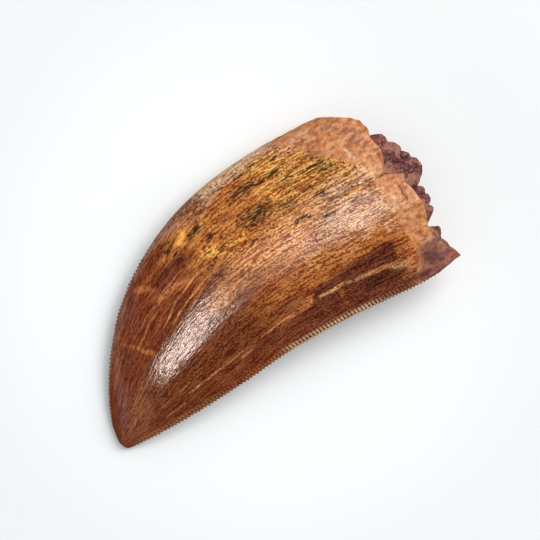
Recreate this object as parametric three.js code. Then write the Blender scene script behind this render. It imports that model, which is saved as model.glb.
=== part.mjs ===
// A fossil tooth of a large meat-eating dinosaur, lying on its inner face. Millimetres, +Z up.
//
// The crown is a curved blade. Its section is a lens: a sharp rear edge (distal carina) along the hollow
// side and a front edge (mesial carina) along the bulging side, which swings down onto the inner face
// towards the base. Both edges carry a row of small chisel-shaped denticles. The base is broken off across
// the root, and the stone that filled the pulp cavity stands out of the break in rounded lumps.
//
// The outline is drawn with the point of the tooth near x = 0, y = 0 and the base towards +X. The finished
// group is then moved so that its origin is on the ground under the middle of the fossil.
import * as THREE from "three";

// ---------------------------------------------------------------- driving dimensions

// Edges of the crown seen from above, from the point to the base: [x, y].
const DISTAL_EDGE = [
  [-0.35, 0.6], [-0.05, -0.3], [0.9, -0.75], [5, -1.75], [12, -2.8], [20, -3.6],
  [28, -4.15], [36, -5.35], [44, -7.0], [51, -8.5], [57.4, -8.75],
];
const MESIAL_EDGE = [
  [-0.35, 0.6], [-0.3, 1.5], [0.7, 4.4], [3, 8.05], [7.2, 12.75], [12.6, 17.2],
  [19.5, 20.7], [27.5, 22.95], [36, 23.5], [45, 22.65], [53, 21.15], [59, 19.6],
];

// How the section grows from the point (0) to the base line (1): [share of the length, millimetres].
const OUTER_BULGE = [
  [0, 0], [0.01, 0.65], [0.04, 1.7], [0.1, 3.0], [0.25, 5.2], [0.5, 7.1], [0.75, 7.7], [1, 7.5],
];
const INNER_BULGE = [
  [0, 0], [0.01, 0.55], [0.04, 1.1], [0.1, 1.75], [0.25, 3.0], [0.5, 4.75], [0.75, 6.2], [1, 6.3],
];
const REAR_HEIGHT = [
  [0, 0.45], [0.04, 1.08], [0.1, 2.2], [0.25, 4.4], [0.5, 6.5], [0.75, 7.4], [1, 7.9],
];
const FRONT_HEIGHT = [
  [0, 0.45], [0.04, 0.95], [0.1, 1.6], [0.25, 2.8], [0.5, 3.9], [0.75, 4.4], [1, 4.9],
];

// Where the section is thickest, from 0 at the rear edge to 1 at the front: [share of the length, place].
const OUTER_CREST = [[0, 0.5], [0.12, 0.42], [0.4, 0.39], [0.75, 0.4], [1, 0.42]];
const INNER_CREST = [[0, 0.5], [0.25, 0.38], [1, 0.35]];

// The curve of a section from its crest down to each edge. A sharpness near 1 gives a blade, and near 0.5
// a round nose.
const REAR_SIDE = { fullness: 1.85, sharpness: 0.93 };
const FRONT_SIDE = { fullness: 2.05, bladeSharpness: 0.86, roundSharpness: 0.52 };
const ROUND_FRONT = { from: 0.28, to: 0.6 }; // shares of the length: a blade before, a round nose after
const SWING = { from: 0.31, to: 0.85, degrees: 55 }; // how far the front denticles turn under the crown
// A faint crease along the outer face. Between it and the front edge lies a facet, flatter than the rest.
const FACET = { at: 0.6, depth: 0.5, softness: 0.04 };
const FACET_START = { from: 0.02, to: 0.12 }; // shares of the length
const FACET_END = { from: 0.35, to: 0.7 };
const FLANGE = { at: 0.085, half: 0.08, depth: 0.45 }; // the hollow band beside the rear edge
const FLANGE_START = { from: 0, to: 0.25 };
const INNER_FLANGE = 0.6; // its share of that depth on the inner face

// Denticles, and the low ridge (carina) that carries them over a rounded surface.
const DENTICLE = { pitch: 0.58, notchShare: 0.5, notchDepth: 0.4, length: 0.65, thickness: 0.26 };
const CARINA_HEIGHT = 0.25;
const CARINA_END = 0.05; // share of the length over which it dies out
const DISTAL_ROW = { from: 0.035, to: 0.93 }; // shares of the length
const MESIAL_ROW = { from: 0.045, to: 0.74 };
const ROW_FADE = { start: 4, end: 6 }; // denticles that grow smaller at each end of a row

// The root surface lies this much lower than the enamel, which ends at [side, share of the length]. The
// side runs from -1 at the rear edge to 1 at the front.
const ENAMEL_STEP = 0.25;
const THIN = 2; // sections lower than this lose less
const ENAMEL_END = [
  [-1, 0.865], [-0.8, 0.9], [-0.45, 0.925], [0, 0.93], [0.35, 0.93], [0.6, 0.87], [1, 0.8],
];

// The broken edge on the outer face, seen from above from the rear edge to the front: [x, y].
const OUTER_RIM = [
  [57.3, -8.7], [56.85, -6.3], [56.3, -3.8], [56.1, -2.2], [57.1, -0.5], [57.7, 1.2], [57.8, 3.8],
  [57.3, 5.3], [58.3, 6.45], [56.7, 7.4], [55.8, 8.1], [57.0, 10.2], [57.8, 11.8], [57.5, 13.9],
  [58.15, 15.1], [57.9, 16.9], [56.9, 18.1], [55.2, 19.6], [53.2, 21.1],
];
// And on the inner face, from the front edge back to the rear.
const INNER_RIM = [
  [53.2, 21.1], [54.2, 18.5], [55.6, 15.6], [55.1, 12], [56.4, 9], [55.6, 5], [56.3, 1.5], [55.4, -2],
  [56.2, -5.5], [57.3, -8.7],
];

// The pulp cavity: an oval bore that narrows towards the point.
const CAVITY = { mouth: 57, depth: 13, y: 4.55, z: 6.75, halfWidth: 10.75, halfHeight: 4.4 };
const CAVITY_LEAN = 1.2; // its inner end lies this much nearer the front
const CAVITY_ROLL = -0.1; // millimetres up for each one towards the front
const GAP = 0.3; // between the stone and the cavity wall

// The break runs in from the rim over a rough ledge, and meets the cavity wall a little deeper.
const LEDGE = { share: 0.55, depth: 0.25, roughness: 0.32 };
const WALL_START = { belowRim: 0.9, least: 0.8 };

// Rounded lumps of the stone past the break: [x, y, z] of the top of each and its radius.
const LUMPS = [
  [59.7, 12.7, 7.2, 1.6], [60.2, 10.0, 6.9, 2.0], [60.7, 7.9, 5.6, 1.9], [61.3, 6.15, 7.1, 1.9],
  [59.3, 2.7, 6.4, 1.0], [59.2, 1.3, 7.3, 0.9], [58.6, -0.2, 6.2, 0.9], [57.6, -3.6, 6.9, 0.9],
  [57.9, -5.2, 6.3, 0.8], [59.3, 4.9, 4.2, 1.6], [59.0, 11.4, 4.6, 1.5], [58.2, 1.0, 4.6, 1.4],
];
const STONE_FACE = 55.9; // where the stone ends between the lumps
const STONE_START = 0.1; // share of the cavity's depth at which it leaves the wall
const STONE_EDGE = 12; // how suddenly its rim turns over
const LUMP_FULLNESS = 1.3;
const LUMP_BLEND = 0.16;
const STONE_ROUGHNESS = 0.16;

// Mesh sizes.
const CROWN_ROWS = 52; // from the point to the end of the enamel
const ROOT_ROWS = 4;
const STEP_WIDTH = 0.008; // share of the length over which the enamel ends
const WIDEST_COLUMN = 14; // degrees
const CAVITY_RINGS = [0, 0.25, 0.5, 0.75, 0.93]; // shares of the cavity's depth
const STONE_SIDES = 44;
const STONE_RINGS = [0.95, 0.8, 0.55, 0.3, STONE_START];
// From the wall to the middle of the stone's face: [share of the way out].
const STONE_FACE_RINGS = [0.985, 0.94, 0.87, 0.79, 0.7, 0.61, 0.52, 0.43, 0.34, 0.25, 0.15];
const TIP_ROWS = [0, 0.003, 0.009, 0.02]; // stations of the first rows
const BISECT_STEPS = 26;
const BROKEN_FROM = 0.85; // the broken edge lies past this station everywhere

// ---------------------------------------------------------------- numbers

const clamp01 = (v) => Math.min(1, Math.max(0, v));
const ease = (v) => clamp01(v) ** 2 * (3 - 2 * clamp01(v));
const easeBetween = ({ from, to }, v) => ease((v - from) / (to - from));
const mix = (a, b, share) => a + (b - a) * share;
const hump = (v) => (Math.abs(v) < 1 ? (1 - v * v) ** 2 : 0);

// The stretch of [at, value] pairs that holds x: its two ends, and how far along it x is.
function stretchAt(knots, x) {
  const i = Math.max(1, knots.findIndex((knot) => knot[0] >= x));
  const share = (x - knots[i - 1][0]) / (knots[i][0] - knots[i - 1][0]);
  return [i, share];
}

// A smooth curve through [at, value] pairs.
function through(knots) {
  const slope = knots.map((_, i) => {
    const before = knots[Math.max(i - 1, 0)];
    const after = knots[Math.min(i + 1, knots.length - 1)];
    return (after[1] - before[1]) / (after[0] - before[0]);
  });
  return (at) => {
    const [i, t] = stretchAt(knots, Math.min(Math.max(at, knots[0][0]), knots.at(-1)[0]));
    const width = knots[i][0] - knots[i - 1][0];
    const rest = 1 - t;
    const ends = knots[i - 1][1] * rest * rest * (1 + 2 * t) + knots[i][1] * t * t * (3 - 2 * t);
    return ends + width * t * rest * (slope[i - 1] * rest - slope[i] * t);
  };
}

// Straight lines through [at, value] pairs, for broken edges.
function straightThrough(knots) {
  return (at) => {
    const [i, t] = stretchAt(knots, Math.min(Math.max(at, knots[0][0]), knots.at(-1)[0]));
    return mix(knots[i - 1][1], knots[i][1], t);
  };
}

// The place between low and high where a rising test turns true.
function bisect(low, high, isPast) {
  for (let i = 0; i < BISECT_STEPS; i++) {
    const middle = (low + high) / 2;
    if (isPast(middle)) high = middle;
    else low = middle;
  }
  return low;
}

// A repeatable roughness between -1 and 1, with features a millimetre or two across.
function rough({ x, y, z }) {
  const waves = [2.3 * x + 1.7 * y, 3.1 * y - 2.2 * z + 1, 2.9 * z + 1.3 * x + 2];
  return waves.reduce((sum, wave) => sum + Math.sin(wave), 0) / waves.length;
}

// ---------------------------------------------------------------- crown surface

function outline(points) {
  const curve = new THREE.SplineCurve(points.map(([x, y]) => new THREE.Vector2(x, y)));
  curve.arcLengthDivisions = 800;
  return curve;
}
const distal = outline(DISTAL_EDGE);
const mesial = outline(MESIAL_EDGE);
const outerBulge = through(OUTER_BULGE);
const innerBulge = through(INNER_BULGE);
const rearHeight = through(REAR_HEIGHT);
const frontHeight = through(FRONT_HEIGHT);
const outerCrest = through(OUTER_CREST);
const innerCrest = through(INNER_CREST);
const enamelEnd = through(ENAMEL_END);

// The height of a section over its chord, 0 at both edges and 1 at the crest.
function sectionShape(station, across, crestAt) {
  if (across < crestAt) {
    return clamp01(1 - ((crestAt - across) / crestAt) ** REAR_SIDE.fullness) ** REAR_SIDE.sharpness;
  }
  const { fullness, bladeSharpness, roundSharpness } = FRONT_SIDE;
  const sharpness = mix(bladeSharpness, roundSharpness, easeBetween(ROUND_FRONT, station));
  return clamp01(1 - ((across - crestAt) / (1 - crestAt)) ** fullness) ** sharpness;
}

// How far the facet lies below the outer face's curve, and how far the flange sinks into both faces.
function facetDepth(station, across) {
  const strength = easeBetween(FACET_START, station) * (1 - easeBetween(FACET_END, station));
  const share = (across - FACET.at) / (1 - FACET.at);
  const past = (share + Math.hypot(share, FACET.softness)) / 2;
  return FACET.depth * 4 * past * clamp01(1 - past) * strength;
}
function flangeDepth(station, across) {
  return FLANGE.depth * hump((across - FLANGE.at) / FLANGE.half) * easeBetween(FLANGE_START, station);
}

// A point of the crown. station runs from the point of the tooth (0) to the base line (1). turn goes round
// the section in degrees: 180 at the rear edge, 90 on the outer face, 0 at the front, and below 0 on the
// inner face.
function crownPoint(station, turn) {
  const rear = distal.getPointAt(station);
  const front = mesial.getPointAt(station);
  const angle = THREE.MathUtils.degToRad(turn);
  const across = (1 + Math.cos(angle)) / 2;
  const outward = Math.sin(angle) >= 0;
  const shape = sectionShape(station, across, (outward ? outerCrest : innerCrest)(station));
  const hollow = flangeDepth(station, across);
  let height = outward
    ? outerBulge(station) * shape - facetDepth(station, across) - hollow
    : INNER_FLANGE * hollow - innerBulge(station) * shape;
  const root = ease((station - enamelEnd(Math.cos(angle))) / STEP_WIDTH + 0.5);
  height *= 1 - (root * ENAMEL_STEP) / Math.max(THIN, Math.abs(height));
  const z = Math.max(0, mix(rearHeight(station), frontHeight(station), across) + height);
  return new THREE.Vector3(mix(rear.x, front.x, across), mix(rear.y, front.y, across), z);
}

// The turn on the surface that is a distance away from another turn, on one side (1 or -1) of it.
function turnBeside(station, turn, side, distance) {
  const from = crownPoint(station, turn);
  const isPast = (degrees) => crownPoint(station, turn + side * degrees).distanceTo(from) > distance;
  return turn + side * bisect(0, 80, isPast);
}

// The station at which the surface meets the broken edge, for one turn round the section.
const rimCurve = (rim) => straightThrough(rim.map(([x, y]) => [y, x]).sort((a, b) => a[0] - b[0]));
const outerRim = rimCurve(OUTER_RIM);
const innerRim = rimCurve(INNER_RIM);

function brokenStation(turn) {
  return bisect(BROKEN_FROM, 1, (station) => {
    const p = crownPoint(station, turn);
    return p.x > (turn >= 0 ? outerRim : innerRim)(p.y);
  });
}

// ---------------------------------------------------------------- denticles

const distalTurn = () => 180;
const mesialTurn = (station) => -SWING.degrees * easeBetween(SWING, station);

// The stations of the notches of a denticle row, each with its depth.
function notches(edge, { from, to }) {
  const count = Math.round(((to - from) * edge.getLength()) / DENTICLE.pitch);
  const half = (to - from) / count / 2;
  return Array.from({ length: count + 1 }, (_, i) => {
    const fade = clamp01(Math.min((i + 1) / ROW_FADE.start, (count - i + 1) / ROW_FADE.end));
    return { station: mix(from, to, i / count), depth: DENTICLE.notchDepth * fade, half };
  });
}

// ---------------------------------------------------------------- meshes

class Shell {
  positions = [];
  triangles = [];

  add(p) {
    this.positions.push(p.x, p.y, p.z);
    return this.positions.length / 3 - 1;
  }

  at(index) {
    return new THREE.Vector3().fromArray(this.positions, index * 3);
  }

  triangle(a, b, c) {
    if (a !== b && b !== c && c !== a) this.triangles.push(a, b, c);
  }

  // Joins two lines of points that run side by side. Each point is [share of the way along, index].
  zip(left, right) {
    let i = 0;
    let j = 0;
    while (i < left.length - 1 || j < right.length - 1) {
      const isRightDone = j === right.length - 1;
      const isLeftNext = isRightDone || (i < left.length - 1 && left[i + 1][0] <= right[j + 1][0]);
      if (isLeftNext) this.triangle(left[i][1], left[++i][1], right[j][1]);
      else this.triangle(left[i][1], right[j + 1][1], right[j++][1]);
    }
  }

  // Joins two closed rings that have the same number of points.
  band(ring, next) {
    ring.forEach((a, i) => {
      const j = (i + 1) % ring.length;
      this.triangle(a, next[i], ring[j]);
      this.triangle(ring[j], next[i], next[j]);
    });
  }

  // Closes the end of a ring at one point.
  cap(ring, p) {
    const end = this.add(p);
    this.band(ring, ring.map(() => end));
  }

  geometry() {
    const made = new THREE.BufferGeometry();
    made.setAttribute("position", new THREE.Float32BufferAttribute(this.positions, 3));
    made.setIndex(this.triangles);
    made.computeVertexNormals();
    return made;
  }
}

// A point of the cavity wall: depth 0 is its mouth and 1 its inner end. spare makes it that much smaller.
function cavityPoint(depth, angle, spare) {
  const narrow = Math.sqrt(1 - clamp01(depth) ** 1.7);
  const y = Math.max(0, CAVITY.halfWidth * narrow - spare) * Math.cos(angle);
  const z = Math.max(0, CAVITY.halfHeight * narrow - spare) * Math.sin(angle);
  return new THREE.Vector3(
    CAVITY.mouth - (CAVITY.depth - spare) * depth,
    CAVITY.y + CAVITY_LEAN * depth + y,
    CAVITY.z + CAVITY_ROLL * y + z,
  );
}

// The rows of one line of points: where it crosses the end of the enamel and where it breaks off.
function rowsAlong(turnAt) {
  const end = brokenStation(turnAt(1));
  let step = end;
  for (let i = 0; i < 4; i++) step = enamelEnd(Math.cos(THREE.MathUtils.degToRad(turnAt(step))));
  const marks = [
    ...TIP_ROWS.map((station, row) => [row, station]),
    [CROWN_ROWS, step - STEP_WIDTH / 2],
    [CROWN_ROWS + 1, step + STEP_WIDTH / 2],
    [CROWN_ROWS + 1 + ROOT_ROWS, end],
  ];
  return { stationOf: straightThrough(marks), rowOf: straightThrough(marks.map(([row, at]) => [at, row])) };
}

// One line of points from the tip of the crown to its broken edge. On an edge, each cut is a point of its
// denticles, [station, depth], and takes the place of the even rows there.
function addLine(shell, tip, turnAt, cuts = []) {
  const { stationOf, rowOf } = rowsAlong(turnAt);
  const rows = CROWN_ROWS + 1 + ROOT_ROWS;
  const even = Array.from({ length: rows }, (_, i) => [stationOf(i + 1), 0]);
  const isClear = ([station]) => cuts.length === 0 || station < cuts[0][0] || station > cuts.at(-1)[0];
  const marks = [...even.filter(isClear), ...cuts].sort((a, b) => a[0] - b[0]);
  const line = marks.map(([station, depth]) => {
    const p = crownPoint(station, turnAt(station));
    const heart = crownPoint(station, 90).lerp(crownPoint(station, -90), 0.5);
    p.add(heart.sub(p).normalize().multiplyScalar(depth));
    return [rowOf(station), shell.add(p)];
  });
  return [[0, tip], ...line];
}

// The turns at which the face lines end, so that each corner of the broken edge has a line of its own.
function faceTurns() {
  const turnOf = (y) => bisect(0, 180, (turn) => crownPoint(brokenStation(turn), turn).y < y);
  const inner = INNER_RIM.slice(1, -1).map(([, y]) => -turnOf(y));
  const corners = [180, ...OUTER_RIM.slice(1).map(([, y]) => turnOf(y)), ...inner, -180];
  return corners.flatMap((turn, i) => {
    const gap = i === 0 ? 0 : corners[i - 1] - turn;
    const extra = Math.ceil(gap / WIDEST_COLUMN);
    return Array.from({ length: extra }, (_, k) => corners[i - 1] - (gap * (k + 1)) / extra);
  });
}

function crown() {
  const shell = new Shell();
  const tip = shell.add(crownPoint(0, 90));
  const endTurns = faceTurns();
  const lines = [];

  // An edge: its two sides, cut by the notches, and the line on each face where the denticles rise from.
  const beside = (edgeTurn, side, distance) => (station) =>
    turnBeside(Math.max(station, 0.004), edgeTurn(station), side, distance);
  const addEdge = (edgeTurn, row) => {
    const roots = row.map(({ station }) => [station, 0]);
    const profile = row.flatMap(({ station, depth, half }) => {
      const flank = half * DENTICLE.notchShare;
      const swung = clamp01(-edgeTurn(station) / SWING.degrees);
      const lift = CARINA_HEIGHT * swung * ease((row.at(-1).station - station) / CARINA_END);
      return [[station - flank, -lift], [station, mix(depth, 0, swung)], [station + flank, -lift]];
    });
    lines.push(addLine(shell, tip, beside(edgeTurn, 1, DENTICLE.length), roots));
    lines.push(addLine(shell, tip, beside(edgeTurn, 1, DENTICLE.thickness / 2), profile));
    lines.push(addLine(shell, tip, beside(edgeTurn, -1, DENTICLE.thickness / 2), profile));
    lines.push(addLine(shell, tip, beside(edgeTurn, -1, DENTICLE.length), roots));
  };
  const addFace = (fromTurn, toTurn) => {
    const [from, to] = [fromTurn(1), toTurn(1)];
    const clear = (from - to) / 60;
    for (const turn of endTurns.filter((each) => each < from - clear && each > to + clear)) {
      const share = (from - turn) / (from - to);
      lines.push(addLine(shell, tip, (station) => mix(fromTurn(station), toTurn(station), share)));
    }
  };
  const rearInner = (station) => beside(distalTurn, 1, DENTICLE.length)(station) - 360;
  addEdge(distalTurn, notches(distal, DISTAL_ROW));
  addFace(beside(distalTurn, -1, DENTICLE.length), beside(mesialTurn, 1, DENTICLE.length));
  addEdge(mesialTurn, notches(mesial, MESIAL_ROW));
  addFace(beside(mesialTurn, -1, DENTICLE.length), rearInner);
  lines.forEach((line, i) => shell.zip(line, lines[(i + 1) % lines.length]));

  // The broken face, from the rim in to the mouth of the cavity, and the cavity.
  const rim = lines.map((line) => line.at(-1)[1]);
  const angles = rim.map((index) => {
    const p = shell.at(index);
    const y = p.y - CAVITY.y;
    return Math.atan2((p.z - CAVITY.z - CAVITY_ROLL * y) / CAVITY.halfHeight, y / CAVITY.halfWidth);
  });
  const mouths = rim.map((index) => {
    const inset = CAVITY.mouth - shell.at(index).x + WALL_START.belowRim;
    return Math.max(WALL_START.least, inset) / CAVITY.depth;
  });
  const wallPoint = (i, share) => cavityPoint(mix(mouths[i], 1, share), angles[i], 0);
  const wall = (share) => rim.map((_, i) => shell.add(wallPoint(i, share)));
  const ledge = rim.map((index, i) => {
    const p = shell.at(index).lerp(wallPoint(i, 0), LEDGE.share);
    p.x += LEDGE.depth + LEDGE.roughness * rough(p);
    return shell.add(p);
  });
  const rings = [rim, ledge, ...CAVITY_RINGS.map(wall)];
  rings.slice(1).forEach((ring, i) => shell.band(rings[i], ring));
  shell.cap(rings.at(-1), cavityPoint(1, 0, 0));
  return shell.geometry();
}

// ---------------------------------------------------------------- the stone

// How far the face of the stone stands out at a place across the break.
function stoneFace(y, z) {
  const heights = LUMPS.map(([x, lumpY, lumpZ, radius]) => {
    const fall = ((y - lumpY) ** 2 + (z - lumpZ) ** 2) / (LUMP_FULLNESS * radius);
    return x - fall - STONE_FACE;
  });
  const total = heights.reduce((sum, height) => sum + Math.exp(height / LUMP_BLEND), 1);
  return STONE_FACE + LUMP_BLEND * Math.log(total);
}

function stone() {
  const shell = new Shell();
  const angles = Array.from({ length: STONE_SIDES }, (_, i) => (-2 * Math.PI * i) / STONE_SIDES);
  const wall = (depth) => angles.map((angle) => shell.add(cavityPoint(depth, angle, GAP)));
  const face = (reach) =>
    angles.map((angle) => {
      const edge = cavityPoint(STONE_START, angle, GAP);
      const p = new THREE.Vector3(0, mix(CAVITY.y, edge.y, reach), mix(CAVITY.z, edge.z, reach));
      const inward = 1 - reach ** STONE_EDGE;
      p.x = mix(edge.x, stoneFace(p.y, p.z) + STONE_ROUGHNESS * rough(p), inward);
      return shell.add(p);
    });
  const rings = [...STONE_RINGS.map(wall), ...STONE_FACE_RINGS.map(face)];
  rings.slice(1).forEach((ring, i) => shell.band(rings[i], ring));
  shell.cap(rings.at(-1), new THREE.Vector3(stoneFace(CAVITY.y, CAVITY.z), CAVITY.y, CAVITY.z));
  shell.cap([...rings[0]].reverse(), cavityPoint(1, 0, GAP));
  return shell.geometry();
}

// ---------------------------------------------------------------- the fossil

const enamel = new THREE.MeshStandardMaterial({ color: 0x8a4a1e, roughness: 0.38, metalness: 0 });
const sandstone = new THREE.MeshStandardMaterial({ color: 0x4f2a27, roughness: 0.75, metalness: 0 });

const toothCrown = new THREE.Mesh(crown(), enamel);
toothCrown.name = "tooth_crown";
const stoneInfill = new THREE.Mesh(stone(), sandstone);
stoneInfill.name = "stone_infill";

const fossil = new THREE.Group();
fossil.add(toothCrown, stoneInfill);
const box = new THREE.Box3().setFromObject(fossil);
fossil.position.set(-(box.min.x + box.max.x) / 2, -(box.min.y + box.max.y) / 2, -box.min.z);

export default fossil;
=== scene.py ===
from functools import lru_cache, reduce
from itertools import product

import bpy
import numpy as np
from mathutils import Matrix, Vector


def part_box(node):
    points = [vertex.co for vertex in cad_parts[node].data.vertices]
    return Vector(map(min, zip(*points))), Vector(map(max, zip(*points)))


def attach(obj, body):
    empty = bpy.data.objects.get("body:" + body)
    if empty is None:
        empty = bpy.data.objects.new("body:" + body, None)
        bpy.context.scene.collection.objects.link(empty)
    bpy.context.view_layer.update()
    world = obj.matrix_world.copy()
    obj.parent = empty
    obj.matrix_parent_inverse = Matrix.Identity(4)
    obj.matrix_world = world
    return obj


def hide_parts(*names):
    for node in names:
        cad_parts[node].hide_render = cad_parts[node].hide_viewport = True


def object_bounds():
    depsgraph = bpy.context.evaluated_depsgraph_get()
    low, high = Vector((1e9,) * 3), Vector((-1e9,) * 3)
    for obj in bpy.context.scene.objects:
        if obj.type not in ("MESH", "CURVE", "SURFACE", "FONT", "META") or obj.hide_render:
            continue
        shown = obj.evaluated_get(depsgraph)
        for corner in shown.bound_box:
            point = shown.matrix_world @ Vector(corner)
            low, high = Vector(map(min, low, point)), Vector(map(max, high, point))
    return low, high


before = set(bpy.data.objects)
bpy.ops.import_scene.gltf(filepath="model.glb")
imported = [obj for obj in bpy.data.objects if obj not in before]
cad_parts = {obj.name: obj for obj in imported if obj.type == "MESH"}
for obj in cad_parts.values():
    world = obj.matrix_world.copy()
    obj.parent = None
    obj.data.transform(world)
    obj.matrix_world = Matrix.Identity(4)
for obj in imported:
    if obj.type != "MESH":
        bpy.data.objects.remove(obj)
cad_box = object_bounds()

MM = 0.001

# ---- dimensions shared with the CAD part

DISTAL_EDGE = [
    (-0.35, 0.6), (-0.05, -0.3), (0.9, -0.75), (5, -1.75), (12, -2.8), (20, -3.6),
    (28, -4.15), (36, -5.35), (44, -7.0), (51, -8.5), (57.4, -8.75),
]
MESIAL_EDGE = [
    (-0.35, 0.6), (-0.3, 1.5), (0.7, 4.4), (3, 8.05), (7.2, 12.75), (12.6, 17.2),
    (19.5, 20.7), (27.5, 22.95), (36, 23.5), (45, 22.65), (53, 21.15), (59, 19.6),
]
OUTER_BULGE = [
    (0, 0), (0.01, 0.65), (0.04, 1.7), (0.1, 3.0), (0.25, 5.2), (0.5, 7.1), (0.75, 7.7), (1, 7.5),
]
INNER_BULGE = [
    (0, 0), (0.01, 0.55), (0.04, 1.1), (0.1, 1.75), (0.25, 3.0), (0.5, 4.75), (0.75, 6.2), (1, 6.3),
]
REAR_HEIGHT = [
    (0, 0.45), (0.04, 1.08), (0.1, 2.2), (0.25, 4.4), (0.5, 6.5), (0.75, 7.4), (1, 7.9),
]
FRONT_HEIGHT = [
    (0, 0.45), (0.04, 0.95), (0.1, 1.6), (0.25, 2.8), (0.5, 3.9), (0.75, 4.4), (1, 4.9),
]
OUTER_CREST = [(0, 0.5), (0.12, 0.42), (0.4, 0.39), (0.75, 0.4), (1, 0.42)]
INNER_CREST = [(0, 0.5), (0.25, 0.38), (1, 0.35)]
REAR_FULLNESS, REAR_SHARPNESS = 1.85, 0.93
FRONT_FULLNESS, BLADE_SHARPNESS, ROUND_SHARPNESS = 2.05, 0.86, 0.52
ROUND_FRONT = (0.28, 0.6)
SWING, SWING_DEGREES = (0.31, 0.85), 55
FACET_AT, FACET_DEPTH, FACET_SOFTNESS = 0.6, 0.5, 0.04
FACET_START, FACET_END = (0.02, 0.12), (0.35, 0.7)
FLANGE_AT, FLANGE_HALF, FLANGE_DEPTH, INNER_FLANGE = 0.085, 0.08, 0.45, 0.6
FLANGE_START = (0, 0.25)
PITCH, DENTICLE_LENGTH, NOTCH_DEPTH, CARINA_HEIGHT, CARINA_END = 0.58, 0.65, 0.3, 0.25, 0.05
DISTAL_ROW, MESIAL_ROW = (0.035, 0.93), (0.045, 0.74)
ROW_FADE = (4, 6)
ENAMEL_STEP, STEP_WIDTH, THIN = 0.25, 0.008, 2
ENAMEL_END = [
    (-1, 0.865), (-0.8, 0.9), (-0.45, 0.925), (0, 0.93), (0.35, 0.93), (0.6, 0.87), (1, 0.8),
]
OUTER_RIM = [
    (57.3, -8.7), (56.85, -6.3), (56.3, -3.8), (56.1, -2.2), (57.1, -0.5), (57.7, 1.2), (57.8, 3.8),
    (57.3, 5.3), (58.3, 6.45), (56.7, 7.4), (55.8, 8.1), (57.0, 10.2), (57.8, 11.8), (57.5, 13.9),
    (58.15, 15.1), (57.9, 16.9), (56.9, 18.1), (55.2, 19.6), (53.2, 21.1),
]
INNER_RIM = [
    (53.2, 21.1), (54.2, 18.5), (55.6, 15.6), (55.1, 12), (56.4, 9), (55.6, 5), (56.3, 1.5),
    (55.4, -2), (56.2, -5.5), (57.3, -8.7),
]
CAVITY_MOUTH, CAVITY_DEPTH, CAVITY_Y, CAVITY_Z = 57, 13, 4.55, 6.75
CAVITY_HALF_WIDTH, CAVITY_HALF_HEIGHT, CAVITY_LEAN, CAVITY_ROLL, GAP = 10.75, 4.4, 1.2, -0.1, 0.3
LUMPS = [
    (59.7, 12.7, 7.2, 1.6), (60.2, 10.0, 6.9, 2.0), (60.7, 7.9, 5.6, 1.9), (61.3, 6.15, 7.1, 1.9),
    (59.3, 2.7, 6.4, 1.0), (59.2, 1.3, 7.3, 0.9), (58.6, -0.2, 6.2, 0.9), (57.6, -3.6, 6.9, 0.9),
    (57.9, -5.2, 6.3, 0.8), (59.3, 4.9, 4.2, 1.6), (59.0, 11.4, 4.6, 1.5), (58.2, 1.0, 4.6, 1.4),
]
STONE_FACE, STONE_START, STONE_EDGE, LUMP_FULLNESS, LUMP_BLEND = 55.9, 0.1, 12, 1.3, 0.16

# ---- fine mesh sizes

OUTER_COLUMNS, INNER_COLUMNS, EDGE_COLUMNS = 180, 84, 5
TIP_ROWS, ENAMEL_ROWS, STEP_ROWS, ROOT_ROWS = 14, 176, 5, 26
ROWS_PER_DENTICLE = 7
EDGE_TIP_ROWS, EDGE_ROOT_ROWS = 13, 30
TIP_STATION, TIP_CROWDING, SIDE_CROWDING = 0.012, 1.6, 0.45
EDGE_REACH, EDGE_CROWDING = 0.999, 1.25
BROKEN_FROM = 0.85
BREAK_RINGS, CAVITY_RINGS = 14, 7
STONE_SIDES, STONE_WALL_RINGS, STONE_FACE_RINGS, STONE_CROWDING = 220, 12, 120, 1.15
BISECT_STEPS = 22

# ---- numbers


def clamp01(v):
    return np.clip(v, 0, 1)


def ease(v):
    v = clamp01(v)
    return v * v * (3 - 2 * v)


def ramp(span, v):
    """Rises softly from 0 to 1 while the value goes from the span's start to its end."""
    return ease((v - span[0]) / (span[1] - span[0]))


def mix(a, b, share):
    return a + (b - a) * share


def hump(v):
    """1 at 0, and 0 from 1 on both sides."""
    return np.clip(1 - v * v, 0, None) ** 2


def through(knots):
    """A smooth curve through (at, value) pairs, the same one as the CAD part's."""
    at, value = np.array(knots, float).T
    last = len(at) - 1
    before = np.maximum(np.arange(last + 1) - 1, 0)
    after = np.minimum(np.arange(last + 1) + 1, last)
    slope = (value[after] - value[before]) / (at[after] - at[before])

    def curve(x):
        x = np.clip(x, at[0], at[-1])
        i = np.clip(np.searchsorted(at, x), 1, last)
        width = at[i] - at[i - 1]
        t = (x - at[i - 1]) / width
        rest = 1 - t
        ends = value[i - 1] * rest * rest * (1 + 2 * t) + value[i] * t * t * (3 - 2 * t)
        return ends + width * t * rest * (slope[i - 1] * rest - slope[i] * t)

    return curve


def straight_through(knots):
    """Straight lines through (at, value) pairs in any order."""
    at, value = np.array(sorted(knots), float).T
    return lambda x: np.interp(x, at, value)


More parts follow.
